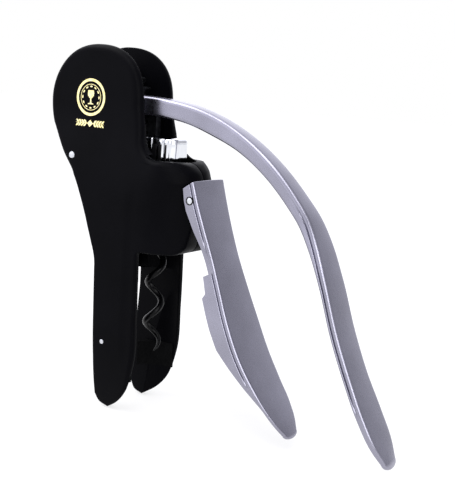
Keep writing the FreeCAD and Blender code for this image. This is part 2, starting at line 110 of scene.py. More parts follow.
# Quads of a grid of rows by columns. Column c meets column c + 1, and the last meets the first
# where the grid is wrapped.
def gridQuads(rows, columns, wrapped=True):
    r = np.arange(rows - 1)[:, None] * columns
    c = np.arange(columns if wrapped else columns - 1)[None, :]
    d = (c + 1) % columns
    return np.stack([r + c, r + d, r + columns + d, r + columns + c], -1).reshape(-1, 4)


# One mesh from grids of points in millimetres. Each grid is (points of shape rows, columns, 3;
# whether columns wrap). Touching points are merged, and then the faces are turned outwards.
def makePiece(name, grids, material, body, replaced=(), creaseAngle=35):
    points, quads, start = [], [], 0
    for grid, wrapped in grids:
        rows, columns = grid.shape[:2]
        points.append(grid.reshape(-1, 3) / 1000)
        quads.append(gridQuads(rows, columns, wrapped) + start)
        start += rows * columns
    mesh = bpy.data.meshes.new(name)
    mesh.from_pydata(np.concatenate(points).tolist(), [], np.concatenate(quads).tolist())
    work = bmesh.new()
    work.from_mesh(mesh)
    bmesh.ops.remove_doubles(work, verts=work.verts, dist=2e-6)
    bmesh.ops.dissolve_degenerate(work, edges=work.edges, dist=1e-7)
    bmesh.ops.recalc_face_normals(work, faces=work.faces)
    work.to_mesh(mesh)
    work.free()
    mesh.shade_smooth()
    mesh.set_sharp_from_angle(angle=np.radians(creaseAngle))
    piece = bpy.data.objects.new(name, mesh)
    bpy.context.scene.collection.objects.link(piece)
    mesh.materials.append(material)
    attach(piece, body)
    if replaced:
        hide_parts(*replaced)
    return piece


# A profile of (radius, height) turned about a line through centre along axis, one ring per point
def turned(profile, centre, axis, count=64):
    r, h = np.asarray(profile, float).T
    a = np.linspace(0, 2 * np.pi, count, endpoint=False)
    ring = np.stack([r[:, None] * np.cos(a), r[:, None] * np.sin(a)], -1)
    rise = np.broadcast_to(h[:, None], ring.shape[:2])
    order = {"z": (ring[..., 0], ring[..., 1], rise), "y": (ring[..., 0], rise, ring[..., 1])}[axis]
    return np.stack(order, -1) + np.array(centre, float), True


# Materials

# Object coordinates are metres, so a pattern whose grain is g millimetres has the scale 1000 / g.
def grain(millimetres):
    return 1000 / millimetres


# A material with its tree, its shader and a node of texture coordinates
def newMaterial(name):
    material = bpy.data.materials.new(name)
    material.use_nodes = True
    tree = material.node_tree
    return material, tree, tree.nodes["Principled BSDF"], addNode(tree, "ShaderNodeTexCoord")


# Noise in object space, whose usual 0.3 to 0.7 is spread over low to high
def spreadNoise(tree, place, size, low, high, detail=3.0):
    noise = addNode(tree, "ShaderNodeTexNoise", values={"Scale": grain(size), "Detail": detail},
                    links={"Vector": place.outputs["Object"]})
    spread = addNode(tree, "ShaderNodeMapRange", links={"Value": noise.outputs["Fac"]}, values={
        "From Min": 0.3, "From Max": 0.7, "To Min": low, "To Max": high})
    return spread.outputs["Result"]


# Two colours mixed by a factor
def twoColours(tree, first, second, factor):
    mix = addNode(tree, "ShaderNodeMix", settings={"data_type": "RGBA"})
    mix.inputs[6].default_value = linearColour(first)
    mix.inputs[7].default_value = linearColour(second)
    tree.links.new(factor, mix.inputs[0])
    return mix.outputs[2]


# Small dents and bumps, coarse to fine. Each layer is a size and a height in millimetres.
def reliefBump(tree, place, layers):
    normal = None
    for size, height in layers:
        noise = addNode(tree, "ShaderNodeTexNoise", values={"Scale": grain(size), "Detail": 2.0},
                        links={"Vector": place.outputs["Object"]})
        links = {"Height": noise.outputs["Fac"]}
        if normal:
            links["Normal"] = normal
        normal = addNode(tree, "ShaderNodeBump", values={"Strength": 1.0, "Distance": height / 1000},
                         links=links).outputs["Normal"]
    return normal


# One finish for each slot: the real material's name, two colours that lie in soft clouds, the clouds'
# size and detail, the haze's size and the roughness it runs between, and the relief's layers. Sizes
# and heights are millimetres, and "even" holds what is the same all over.
finishKinds = {
    # Soft-touch black ABS, moulded in halves and sprayed: nearly black, a broad dull sheen, the fine
    # pebble of the paint, and faint darker and lighter clouds where hands have polished it.
    "shell": {
        "name": "soft-touch black ABS", "colours": ("#020204", "#050508"), "clouds": (22, 3.0),
        "haze": (9, 0.40, 0.50), "relief": ((2.5, 0.004), (0.45, 0.004)),
        "even": {"IOR": 1.46, "Specular IOR Level": 0.04},
    },
    # Satin nickel plate on die-cast zinc: pale grey with a cool cast. The casting was blasted before
    # it was plated, which leaves a fine even grain and a soft reflection.
    "satin": {
        "name": "satin nickel plate", "colours": ("#8f8e9b", "#9998a6"), "clouds": (14, 5.0),
        "haze": (1.4, 0.25, 0.31), "relief": ((8.0, 0.004), (1.4, 0.0005)),
        "even": {"Metallic": 1.0},
    },
    # Bright chrome over polished nickel: a hard clear mirror with a blue cast, faintly hazed
    "chrome": {
        "name": "bright chrome plate", "colours": ("#dfe1e6", "#eceef2"), "clouds": (5, 3.0),
        "haze": (2.5, 0.04, 0.10), "relief": ((4.0, 0.004),),
        "even": {"Metallic": 1.0},
    },
    # Bright turned steel: rings left by the tool are too fine to see, so only its haze is drawn
    "steel": {
        "name": "bright turned steel", "colours": ("#b9bcc2", "#d6d8dd"), "clouds": (1.5, 3.0),
        "haze": (0.6, 0.20, 0.36), "relief": ((0.5, 0.004),),
        "even": {"Metallic": 1.0},
    },
    # Case-hardened steel, oiled black: sintered gears and racks, with brighter worn patches
    "dark_steel": {
        "name": "black-oxided steel", "colours": ("#2b2c30", "#4a4b50"), "clouds": (3.0, 6.0),
        "haze": (0.9, 0.34, 0.52), "relief": ((0.4, 0.006),),
        "even": {"Metallic": 1.0},
    },
    # Black non-stick fluoropolymer baked on steel wire: glossy, very dark, slightly orange-peeled
    "nonstick": {
        "name": "black non-stick coating", "colours": ("#020203", "#060608"), "clouds": (3.0, 3.0),
        "haze": (1.2, 0.20, 0.32), "relief": ((0.8, 0.008),),
        "even": {"IOR": 1.38, "Specular IOR Level": 0.18},
    },
    # Soft black nitrile rubber, moulded: matt, dusty at the high spots
    "rubber": {
        "name": "black nitrile rubber", "colours": ("#030304", "#080809"), "clouds": (4.0, 5.0),
        "haze": (1.5, 0.72, 0.88), "relief": ((0.6, 0.02),),
        "even": {"Specular IOR Level": 0.06},
    },
    # Black acetal, moulded: slippery and even, a little glossier than the shells
    "acetal": {
        "name": "black acetal", "colours": ("#060607", "#0c0c0e"), "clouds": (7.0, 3.0),
        "haze": (2.0, 0.30, 0.42), "relief": ((0.7, 0.006),),
        "even": {"IOR": 1.48, "Specular IOR Level": 0.2},
    },
    # Hot-stamped gold foil: pale yellow metal film on lacquer, so only partly a mirror
    "gold": {
        "name": "hot-stamped gold foil", "colours": ("#ead98c", "#faf2c0"), "clouds": (1.2, 3.0),
        "haze": (0.5, 0.42, 0.58), "relief": ((0.4, 0.004),),
        "even": {"Metallic": 0.35},
    },
}


def makeFinish(kind):
    material, tree, shader, place = newMaterial(kind["name"])
    size, detail = kind["clouds"]
    clouds = spreadNoise(tree, place, size, 0.0, 1.0, detail)
    tree.links.new(twoColours(tree, *kind["colours"], clouds), shader.inputs["Base Color"])
    tree.links.new(spreadNoise(tree, place, *kind["haze"]), shader.inputs["Roughness"])
    tree.links.new(reliefBump(tree, place, kind["relief"]), shader.inputs["Normal"])
    for socket, value in kind["even"].items():
        shader.inputs[socket].default_value = value
    return material


finishes = {slot: makeFinish(kind) for slot, kind in finishKinds.items()}
for subpart in frame["record"]["subparts"]:      # every CAD node gets its slot's finish
    mesh = nodes[subpart["node"]].data
    mesh.materials.clear()
    mesh.materials.append(finishes[subpart["material_slot"]])
print("finishes made:", len(finishes))


# Black body

shell = {
    "head": (-28.4, 131.0),        # the lever axle, and the middle of the round head
    "headRadius": 24.3,
    "headFullness": 2.4,           # power of the superellipse at the head's front corner
    "headHalf": 13.0,              # half widths: over the head, over collar and legs, over the lug
    "bodyHalf": 18.0,
    "lugHalf": 8.6,
    "shoulder": (90.0, 130.0),     # heights between which the body draws in to the head
    "soleDraw": 4.0,               # how far the legs draw in at the soles, from which height,
    "soleFrom": 42.0,
    "solePower": 2.7,              # and how steeply
    "noseFoot": (98.5, 104.0),     # heights between which the lug gives way to a round nose
    "noseReach": (                 # height, and x where the ellipse of the front, seen from above, ends
        (98.5, 22.6), (101.5, 22.9), (106.0, 21.2), (109.0, 18.6),
    ),
    "lugFillet": 3.0,              # roundings: between lug and front, and of the corner to the sides
    "frontBlend": 1.2,
    "rearRounding": (3.0, 1.9),    # rounding of the rear edge at the top of the head and further down
    "rearRoundingRows": 14,        # rows of the grid over which it changes
    "bayHalf": 9.3,                # half widths inside: the slot, the cup, and between the legs
    "cupRadius": 14.5,
    "legRadius": 15.0,
    "legInside": ((-1.0, 10.4), (16.0, 11.8), (36.0, 13.6), (50.0, 15.0)),     # height and half width
    "cupTop": 111.2,
    "collarFoot": 71.4,
    "seamFront": 11.0,             # in front of this x the halves meet, over the height of the cup
    "meeting": 0.02,               # each half stops this far from the middle
    "webFoot": 59.0,               # the web that closes the slot behind, and its thickness
    "webTop": 105.5,
    "webThickness": 2.6,
    "innerEdge": 0.45,             # rounding of the edges towards the slot
}


# Half the outer width at x, z. Seen from above, straight sides turn into half an ellipse round the
# front, and the lug for the clamp pin stands out of it below the nose. Seen from the front, a shoulder
# draws in to the head and the legs draw in to the soles. The smaller of the two counts.
def outerHalf(x, z):
    s = shell
    shoulder = s["bodyHalf"] - (s["bodyHalf"] - s["headHalf"]) * smoothStep(z, *s["shoulder"])
    sole = s["soleDraw"] * np.clip(1 - z / s["soleFrom"], 0, 1) ** s["solePower"]
    lug = s["lugHalf"] * (1 - smoothStep(z, *s["noseFoot"]))
    reach = np.interp(z, *np.transpose(s["noseReach"]))
    ellipse = s["bodyHalf"] * np.sqrt(np.clip(1 - (np.clip(x, 0, None) / reach) ** 2, 0, None))
    ellipse = ellipse + 0.05 * np.clip(-x, 0, 8) ** 2      # wider than the sides, which count behind x = 0
    plan = -softMin(-ellipse, -lug, s["lugFillet"])
    return softMin(shoulder - sole, plan, s["frontBlend"])


# Half the inner width at x, z: the bore between the legs, the cup in the collar above it, or the
# slot's flat wall, whichever is wider. In front of the cup the halves meet.
def innerHalf(x, z):
    s = shell
    radius = np.where(z < s["collarFoot"], s["legRadius"], s["cupRadius"])
    circle = np.sqrt(np.clip(radius ** 2 - x ** 2, 0, None)) * (z < s["cupTop"])
    flat = np.where(z < s["webFoot"], np.interp(z, *np.transpose(s["legInside"])), s["bayHalf"])
    flat = np.where((x > s["seamFront"]) & (z < s["cupTop"]) & (z > s["collarFoot"] - 1), 0.0, flat)
    return np.maximum(np.maximum(circle, flat), s["meeting"])


# Front edge of a shell in side view, top of the head to the sole, as pieces with their own points.
# Beside each: how high the rear edge is at its end, where the spine is, and the edge's rounding. The
# head's corner is a superellipse, at the radius (|cos a|^p + |sin a|^p)^(-1/p) times the head's.
def shellOutline():
    s = shell
    hx, hz = s["head"]
    turn = np.radians(np.linspace(90, 0, 48))
    power = s["headFullness"]
    fuller = (np.abs(np.cos(turn)) ** power + np.abs(np.sin(turn)) ** power) ** (-1 / power)
    brow = circlePoints(s["head"], s["headRadius"] * fuller[:, None], np.degrees(turn)[:, None])[:, 0]
    nose = [(13.5, 109.6), (17.2, 108.6), (20.3, 106.0), (22.3, 101.5), (24.4, 96.8)]
    leg = [(2.1, 69.9), (2.8, 44.0), (2.4, 22.0), (-1.6, 9.6), (-6.4, 3.8), (-12.0, 0.0)]
    legPath = smoothCurve(leg, np.linspace(0, 1, 91))
    upperLeg, lowerLeg = legPath[legPath[:, 1] > 22], legPath[legPath[:, 1] <= 22]
    pieces = (
        (brow, 131.0, (-28.4, 131.0), 3.2),
        (np.linspace(brow[-1], (-2.0, 119.8), 14), 120.7, (-27.0, 121.0), 2.8),
        (arcThrough((-2.0, 119.8), (0.6, 113.0), (7.5, 109.6), 26), 113.5, (-22.0, 113.0), 2.2),
        (np.linspace((7.5, 109.6), (13.5, 109.6), 10), 110.5, (-15.0, 108.0), 2.0),
        (smoothCurve(nose, np.linspace(0, 1, 30)), 102.0, (-8.0, 100.0), 2.0),
        (arcThrough((24.4, 96.8), (24.9, 95.1), (24.6, 93.4), 8), 99.5, (-8.0, 97.0), 1.2),
        (np.linspace((24.6, 93.4), (20.6, 76.0), 20), 82.0, (-6.0, 80.0), 1.6),
        (arcThrough((20.6, 76.0), (18.8, 72.8), (15.5, 71.4), 14), 76.0, (-6.0, 76.0), 1.2),
        (np.linspace((15.5, 71.4), (3.6, 71.4), 14), 71.6, (-8.0, 70.4), 0.7),
        (circlePoints((3.6, 69.9), 1.5, np.linspace(90, 180, 8)), 70.0, (-8.5, 69.6), 0.8),
        (upperLeg, 22.0, (-8.5, 22.0), 1.7),
        (lowerLeg, 0.0, (-12.0, 4.2), 0.9),
    )
    front = np.concatenate([pieces[0][0]] + [p[0][1:] for p in pieces[1:]])
    marks = np.r_[0, np.cumsum([len(p[0]) - 1 for p in pieces])]       # the row where each piece ends
    rearHeights = np.array([hz + s["headRadius"]] + [p[1] for p in pieces])
    spines = np.array([(hx, 148.5)] + [p[2] for p in pieces])
    roundings = np.array([s["rearRounding"][0]] + [p[3] for p in pieces])
    return front, marks, rearHeights, spines, roundings


# The rear edge, head to sole: the head's arc, the waisted back, the straight leg and the sole
def rearOutline():
    s = shell
    arc = circlePoints(s["head"], s["headRadius"], np.linspace(90, 205, 120))
    waist = [tuple(arc[-1]), (-43.3, 109.7), (-34.2, 99.1), (-25.2, 79.0), (-20.1, 64.0), (-20.0, 60.0)]
    back = smoothCurve(waist, np.linspace(0, 1, 120))
    leg = np.linspace((-20.0, 60.0), (-18.7, 5.0), 60)
    sole = smoothCurve([(-18.7, 5.0), (-16.6, 1.6), (-12.0, 0.0)], np.linspace(0, 1, 20))
    return np.concatenate([arc, back[1:], leg[1:], sole[1:]])


# Each row of the grid is one closed ring round the shell: out from the spine over the outer face
# to the front edge, round the edge, back over the inner face, and the same to the rear edge. A
# rounding of radius r lies at r(1 - sin a) in from the edge and r(1 - cos a) below the face. Half
# widths come from outerHalf and innerHalf.
def shellGrid(side):
    s = shell
    front, marks, rearHeights, spines, roundings = shellOutline()
    rows = np.arange(len(front))
    rearLine = rearOutline()
    length = np.r_[0, np.cumsum(np.hypot(*np.diff(rearLine, axis=0).T))]
    atMarks = np.interp(-rearHeights, -rearLine[:, 1], length)
    along = np.interp(rows, marks, atMarks)
    rear = np.stack([np.interp(along, length, rearLine[:, k]) for k in (0, 1)], -1)
    spine = np.stack([np.interp(rows, marks, spines[:, k]) for k in (0, 1)], -1)
    roundings = np.interp(rows, marks, roundings)[:, None]

    def inward(line, turn):
        t = np.gradient(line, axis=0)
        n = np.stack([t[:, 1], -t[:, 0]], -1) * turn
        n[0], n[-1] = (0, -1), (0, 1)
        return n / np.maximum(np.hypot(n[:, 0], n[:, 1]), 1e-9)[:, None]

    turnIn = np.radians(np.linspace(0, 90, 7))
    shoulders, flats, inner = [], [], np.linspace(0, 1, 30)[None, :]
    webRow = (rear[:, 1] > s["webFoot"]) & (rear[:, 1] < s["webTop"])
    cupRow = (front[:, 0] > 3.0) & (front[:, 1] < s["cupTop"]) & (front[:, 1] > s["collarFoot"] - 1.4)
    rearRoundings = np.interp(rows, (0, s["rearRoundingRows"]), s["rearRounding"])[:, None]
    rearRoundings = np.minimum(roundings, rearRoundings)
    for line, turn, r in ((front, 1, roundings), (rear, -1, rearRoundings)):
        normal = inward(line, turn)
        ring = line + normal * r                       # where the rounding meets the flat face
        t = np.linspace(0, 1, 26)[None, :, None]
        flat = spine[:, None] + (ring - spine)[:, None] * t
        depth = r * (1 - np.sin(turnIn))[None, :]
        edge = line[:, None] + normal[:, None] * depth[..., None]
        outerXZ = np.concatenate([flat, edge[:, 1:]], 1)
        drop = np.concatenate([np.zeros(flat.shape[:2]), (r * (1 - np.cos(turnIn))[None, :])[:, 1:]], 1)
        outerY = outerHalf(outerXZ[..., 0], outerXZ[..., 1]) - drop
        shoulders.append(np.stack([outerXZ[..., 0], outerY, outerXZ[..., 1]], -1))

        # inner face, edge to spine
        e = s["innerEdge"]
        start = line + normal * e
        q = np.broadcast_to(inner, (len(rows), inner.shape[1])).copy()
        if turn > 0:                                   # even steps of angle round the cup
            reach = np.clip(start[:, 0], None, s["cupRadius"])
            a0 = np.arcsin(np.clip(reach / s["cupRadius"], -1, 1))
            a1 = np.arcsin(np.clip(spine[:, 0] / s["cupRadius"], -1, 1))
            x = s["cupRadius"] * np.sin(a0[:, None] + (a1 - a0)[:, None] * np.linspace(0, 1, 26)[None, :])
            run = (spine[:, 0] - start[:, 0])[:, None]
            swept = (x - start[:, 0][:, None]) / np.where(np.abs(run) < 1e-6, 1, run)
            lead = swept[:, :1] * np.array([0, 0.34, 0.67, 0.995])[None, :]
            q = np.where(cupRow[:, None], np.concatenate([lead, swept], 1), q)
        else:                                          # a step at the web's inner face
            span = np.maximum(np.hypot(*(spine - start).T), 1e-6)[:, None]
            at = (s["webThickness"] - e) / span
            near = at * np.array([0, 0.35, 0.7, 1.0, 1.0 + 1e-4])[None, :]
            far = near[:, -1:] + (1 - near[:, -1:]) * np.linspace(0, 1, 26)[None, 1:]
            q = np.where(webRow[:, None], np.concatenate([near, far], 1), q)
        innerXZ = start[:, None] + (spine - start)[:, None] * q[..., None]
        innerY = innerHalf(innerXZ[..., 0], innerXZ[..., 1])
        if turn < 0:
            innerY = np.where(webRow[:, None] & (np.arange(30)[None, :] < 4), s["meeting"], innerY)
        turnOut = np.radians(np.array([0, 30, 60]))
        lip = line[:, None] + normal[:, None] * (e * (1 - np.cos(turnOut)))[None, :, None]
        lipY = innerY[:, :1] + e * (1 - np.sin(turnOut))[None, :]
        innerXZ = np.concatenate([lip, innerXZ], 1)
        innerY = np.concatenate([lipY, innerY], 1)
        flats.append(np.stack([innerXZ[..., 0], innerY, innerXZ[..., 1]], -1))
    ringRows = np.concatenate([shoulders[0], flats[0], flats[1][:, -2::-1], shoulders[1][:, :0:-1]], 1)
    return ringRows * np.array([1, side, 1]), True


for sideName, side in (("right", -1), ("left", 1)):
    makePiece(sideName + "Shell", [shellGrid(side)], finishes["shell"], "body",
              [sideName + "_shell"], creaseAngle=38)
print("shells made")


# Lever and clamp handle. Stations are x, z of the outer face, width across, thickness below it.

lever = {
    "stations": (
        (-26.0, 135.2, 8.8, 8.4), (0.0, 134.9, 8.8, 7.8), (15.5, 132.9, 8.6, 7.8),
        (29.5, 128.9, 8.2, 8.0), (42.8, 122.6, 9.0, 7.0), (58.7, 111.3, 10.0, 6.3),
        (68.2, 102.0, 10.8, 6.0), (75.1, 93.8, 12.2, 5.6), (79.7, 85.4, 14.4, 4.8),
        (85.6, 71.1, 16.4, 3.8), (92.6, 51.9, 16.8, 3.7), (99.4, 36.6, 16.8, 3.6),
        (106.2, 23.6, 17.8, 3.4), (112.6, 12.2, 15.2, 2.8), (115.4, 7.0, 10.4, 2.2),
    ),
    "edge": 1.7,             # rounding of the edges beside the outer face
    "underEdge": 0.6,        # rounding of the edges below, as a share of that
    "crown": 0.35,           # how far the outer face drops from its middle to its edges
    "groove": 0.85,          # depth of the fine groove under the outer face's edge
    "grooveFoot": (22, 34),  # heights between which the groove fades in, and fades out
    "grooveHead": (88, 104),
    "hollow": 0.10,          # depth of the hollow underneath, as a share of the thickness
    "tip": 3.0,              # how far the rounded tip runs on past the last station
    "hubRadius": 10.5,
    "hubHalf": 4.4,
    "hubEdge": 0.8,
}
handle = {
    "stations": (
        (24.7, 103.0, 23.2), (27.2, 95.0, 22.8), (31.2, 84.0, 21.6), (36.0, 72.0, 20.9),
        (40.3, 61.6, 22.2), (46.2, 48.0, 24.4), (53.0, 34.5, 24.4), (60.1, 23.8, 22.6),
        (66.0, 15.8, 19.4), (70.4, 9.8, 14.0), (72.3, 6.9, 9.8),
    ),
    "flangeEdge": (
        (19.7, 99.6), (20.4, 95.0), (21.6, 90.8), (25.4, 83.2), (29.4, 76.8), (32.0, 71.5), (34.2, 66.4),
        (31.6, 65.2), (33.5, 58.4), (32.2, 56.3), (34.8, 50.0), (37.4, 44.3), (41.5, 36.8), (47.8, 30.4),
        (54.8, 24.0), (62.0, 17.8), (68.2, 11.6), (72.6, 6.0),
    ),
    "sheet": 1.7,
    "edge": 1.4,
    "innerEdge": 0.8,
    "crown": 0.5,
    "groove": 0.85,
    "grooveFoot": (3.5, 5.5),      # depths of flange between which the groove fades in
    "rim": 0.4,                    # rounding of the sheet's free edges
    "topCut": (-5.0, -3.4),        # direction of the cut at the top, and the share of the
    "topShare": 0.13,              # length over which the sections turn out of it
    "tip": 2.4,
}
grooveLine = {"below": 0.5, "width": 0.28, "fine": 1.2}     # from the rounding's foot down the side


# Points of a bar's frame along its stations: place, direction below the outer face, sizes
def barPath(stations, u):
    path = smoothCurve(stations, u)
    t = np.gradient(path[:, :2], axis=0)
    t /= np.hypot(t[:, 0], t[:, 1])[:, None]
    below = np.stack([t[:, 1], -t[:, 0]], -1)
    return path, t, below


# Puts sections of (across, depth) on the path: x, z = place + depth * below, and y = across
def placeSections(place, below, across, depth):
    xz = place[:, None] + below[:, None] * depth[..., None]
    return np.stack([xz[..., 0], across, xz[..., 1]], -1)


# Half of a rounded bar's outline from the middle of the outer face, over its edge and down the
# side to the depth foot: crown * (y / half)^2 across the face, a quarter circle, then the side. Its
# groove is shaped exp(-((off - below) / width)^2), with off measured down from the quarter circle,
# and twelve of the side's points lie close together there.
def halfProfile(half, crown, edge, groove, foot, topCount=10, sideCount=18):
    a = np.radians(np.linspace(0, 90, 8))
    flat = (half - edge)[:, None] * np.linspace(0, 1, topCount)[None, :]
    flatDepth = crown[:, None] * (flat / half[:, None]) ** 2
    startDepth = flatDepth[:, -1:]
    round_ = (half - edge)[:, None] + edge[:, None] * np.sin(a)[None, 1:]
    roundDepth = startDepth + edge[:, None] * (1 - np.cos(a))[None, 1:]
    whole = foot[:, None] - roundDepth[:, -1:]
    near = np.minimum(grooveLine["fine"], 0.8 * whole)
    rest = near + (whole - near) * np.linspace(0, 1, sideCount - 12)[1:]
    off = np.concatenate([near * np.linspace(0, 1, 13)[1:], rest], 1)
    sideDepth = roundDepth[:, -1:] + off
    dip = np.exp(-((off - grooveLine["below"]) / grooveLine["width"]) ** 2)
    side = half[:, None] - groove[:, None] * dip
    return np.concatenate([flat, round_, side], 1), np.concatenate([flatDepth, roundDepth, sideDepth], 1)


# The rounded tip of a bar: its last section shrinks as a quarter ellipse while it moves on by reach
def addTip(place, below, across, depth, direction, middle, reach):
    q = np.radians(np.linspace(0, 90, 12))[1:]
    place = np.concatenate([place, place[-1] + direction * reach * np.sin(q)[:, None]])
    below = np.concatenate([below, np.repeat(below[-1:], len(q), 0)])
    across = np.concatenate([across, across[-1] * np.cos(q)[:, None]])
    depth = np.concatenate([depth, middle + (depth[-1] - middle) * np.cos(q)[:, None]])
    return placeSections(place, below, across, depth)


# The lever's bar: the half profile and its mirror image, joined under the bar by a shallow hollow
# shaped (1 - y^2)^2, with y running 0 to 1 from its middle to its edge
def leverGrid():
    v = lever
    u = np.r_[np.linspace(0, 0.985, 190), np.linspace(0.985, 1, 14)[1:]]
    path, t, below = barPath(v["stations"], u)
    height, half, thick = path[:, 1], path[:, 2] / 2, path[:, 3]
    edge = np.minimum(v["edge"], np.minimum(half, thick) * 0.42)
    groove = v["groove"] * smoothStep(height, *v["grooveFoot"]) * (1 - smoothStep(height, *v["grooveHead"]))
    lower = v["underEdge"] * edge
    y, d = halfProfile(half, np.full(len(u), v["crown"]), edge, groove, thick - lower)
    a = np.radians(np.linspace(0, 90, 6))[None, 1:]
    y = np.concatenate([y, half[:, None] - lower[:, None] * (1 - np.cos(a))], 1)
    d = np.concatenate([d, thick[:, None] - lower[:, None] * (1 - np.sin(a))], 1)
    under = np.linspace(1, 0, 7)[None, 1:]
    y = np.concatenate([y, y[:, -1:] * under], 1)
    d = np.concatenate([d, thick[:, None] - v["hollow"] * thick[:, None] * (1 - under ** 2) ** 2], 1)
    across = np.concatenate([y, -y[:, -2:0:-1]], 1)
    depth = np.concatenate([d, d[:, -2:0:-1]], 1)
    grid = addTip(path[:, :2], below, across, depth, t[-1], thick[-1] / 2, v["tip"])
    root = np.repeat(grid[:1].mean(1, keepdims=True), grid.shape[1], 1)
    return np.concatenate([root, grid]), True


# The hub's outline, with its two rims rounded by a quarter circle, turned about the lever's axle
def leverHub():
    v = lever
    a = np.radians(np.linspace(0, 90, 6))
    e = v["hubEdge"]
    rim = np.stack([v["hubRadius"] - e + e * np.sin(a), v["hubHalf"] - e + e * np.cos(a)], -1)
    profile = np.concatenate([[(0, v["hubHalf"])], rim, rim[::-1] * (1, -1), [(0, -v["hubHalf"])]])
    return turned(profile, (shell["head"][0], 0, shell["head"][1]), "y", 96)


makePiece("leverBar", [leverGrid(), leverHub()], finishes["satin"], "lever_arm",
          ["lever"], creaseAngle=70)
print("lever made")


# How deep a flange reaches: the distance from each place, along below, to the flange's free edge.
# For each pair it solves place + d * below = a + s * (b - a), and keeps the nearest crossing.
def flangeDepth(place, below, edgeLine):
    a, b = edgeLine[:-1], edgeLine[1:]
    e = b - a
    gap = a[None] - place[:, None]
    cross = below[:, None, 0] * e[None, :, 1] - below[:, None, 1] * e[None, :, 0]
    cross = np.where(np.abs(cross) < 1e-9, 1e-9, cross)
    d = (gap[..., 0] * e[None, :, 1] - gap[..., 1] * e[None, :, 0]) / cross
    s = (gap[..., 0] * below[:, None, 1] - gap[..., 1] * below[:, None, 0]) / cross
    d = np.where((s >= -1e-6) & (s <= 1 + 1e-6) & (d > 0.2), d, 99.0)
    return d.min(1)


# The clamp handle's channel: an outer half profile and an inner one with as many points, so that
# the sheet's edges are strips between the two. inset draws both towards the sheet's middle.
def channelSections(half, foot, inset):
    h = handle
    half, foot = half - inset, foot - inset
    crown = np.minimum(h["crown"], half * 0.05)
    edge = np.minimum(h["edge"], np.minimum(half, foot) * 0.42)
    groove = h["groove"] * smoothStep(foot, *h["grooveFoot"]) * (inset <= 0)
    y, d = halfProfile(half, crown, edge, groove, foot, 14)
    d = d + inset[:, None]
    sheet = h["sheet"] - 2 * inset
    innerHalfWidth = np.maximum(half - sheet, half * 0.12)
    wall = np.minimum(sheet, foot * 0.45)
    innerEdge = np.minimum(h["innerEdge"], innerHalfWidth * 0.5)
    innerY, innerD = halfProfile(innerHalfWidth, crown, innerEdge, half * 0, foot - wall, 14)
    return y, d, innerY, innerD + (wall + inset)[:, None]


# The channel's sections along the handle, from the slanting cut at the top down to the tip. The rows
# above the first are drawn in towards the sheet's middle, by rim * (1 - sin q), to round the cut.
def handleGrid():
    h = handle
    u = np.r_[np.linspace(0, 0.985, 320), np.linspace(0.985, 1, 10)[1:]]
    path, t, below = barPath(h["stations"], u)
    topCut = np.array(h["topCut"]) / np.hypot(*h["topCut"])
    share = (1 - smoothStep(u, 0, h["topShare"]))[:, None]
    below = below * (1 - share) + topCut * share
    below /= np.hypot(below[:, 0], below[:, 1])[:, None]
    place, half = path[:, :2], path[:, 2] / 2
    foot = flangeDepth(place, below, np.array(h["flangeEdge"], float))
    reached = foot < 90
    foot = np.maximum(np.interp(u, u[reached], foot[reached]), 1.6)
    q = np.radians(np.array([0, 30, 60]))
    inset = np.concatenate([h["rim"] * (1 - np.sin(q)), np.zeros(len(u))])
    place, below, half, foot = (np.concatenate([np.repeat(rows[:1], len(q), 0), rows])
                                for rows in (place, below, half, foot))
    place[:len(q)] -= t[0] * (h["rim"] * np.cos(q))[:, None]
    y, d, innerY, innerD = channelSections(half, foot, inset)
    across = np.concatenate([-y[:, ::-1], y[:, 1:], innerY[:, ::-1], -innerY[:, 1:]], 1)
    depth = np.concatenate([d[:, ::-1], d[:, 1:], innerD[:, ::-1], innerD[:, 1:]], 1)
    grid = addTip(place, below, across, depth, t[-1], foot[-1] / 2, h["tip"])
    n = y.shape[1] * 2 - 1
    cap = np.stack([grid[0, :n], grid[0, n:][::-1]], 0)        # strip across the sheet at the top
    return [(grid, True), (cap, False)]


makePiece("clampHandle", handleGrid(), finishes["satin"], "clamp",
          ["clamp_handle"], creaseAngle=70)
print("clamp handle made")


# Pins and rivets, all turned about Y, and black rings of painted shade for the groove round the clamp pin.
# Each row is x and z, the radius, how far from the middle the ends reach, and the CAD nodes it stands for.

pins = {
    "upperPin": ((-36.6, 107.8), 1.5, 16.25, ["upper_pin"]),
    "clampPin": ((23.1, 95.1), 1.3, 11.75, ["clamp_pin"]),
    "legRivets": ((-13.5, 30.0), 1.25, 17.98, ["leg_rivet_right", "leg_rivet_left"]),
}
pinDome = 0.25
rivetRoot = 16.2               # the two leg rivets are short, and start this far from the middle
# the black rings of painted groove shade round the clamp pin's ends
pinGrooveShade = {"inner": 1.35, "outer": 1.75, "from": 10.9, "to": 11.6}       # radii, and distances from the middle


# Half a pin's outline is a quarter ellipse, radius by dome, and the other half is its mirror image
def pinProfile(radius, reach, dome):
    a = np.radians(np.linspace(90, 0, 8))
    top = np.stack([radius * np.cos(a), reach - dome + dome * np.sin(a)], -1)
    return np.concatenate([top, top[::-1] * (1, -1)])


# A profile turned about Y on the left side, and its mirror image on the right
def turnedPair(profile, place):
    grid, wrapped = turned(profile, (place[0], 0, place[1]), "y", 48)
    return [(grid, wrapped), (grid * (1, -1, 1), wrapped)]


for name, (place, radius, reach, stood) in pins.items():
    if name == "legRivets":
        rivet = [(0, rivetRoot), (radius, rivetRoot), (radius, 17.7), (0.7 * radius, 17.92), (0, reach)]
        grids = turnedPair(rivet, place)
    else:
        grids = [turned(pinProfile(radius, reach, pinDome), (place[0], 0, place[1]), "y", 48)]
    makePiece(name, grids, finishes["steel"], "body", stood)
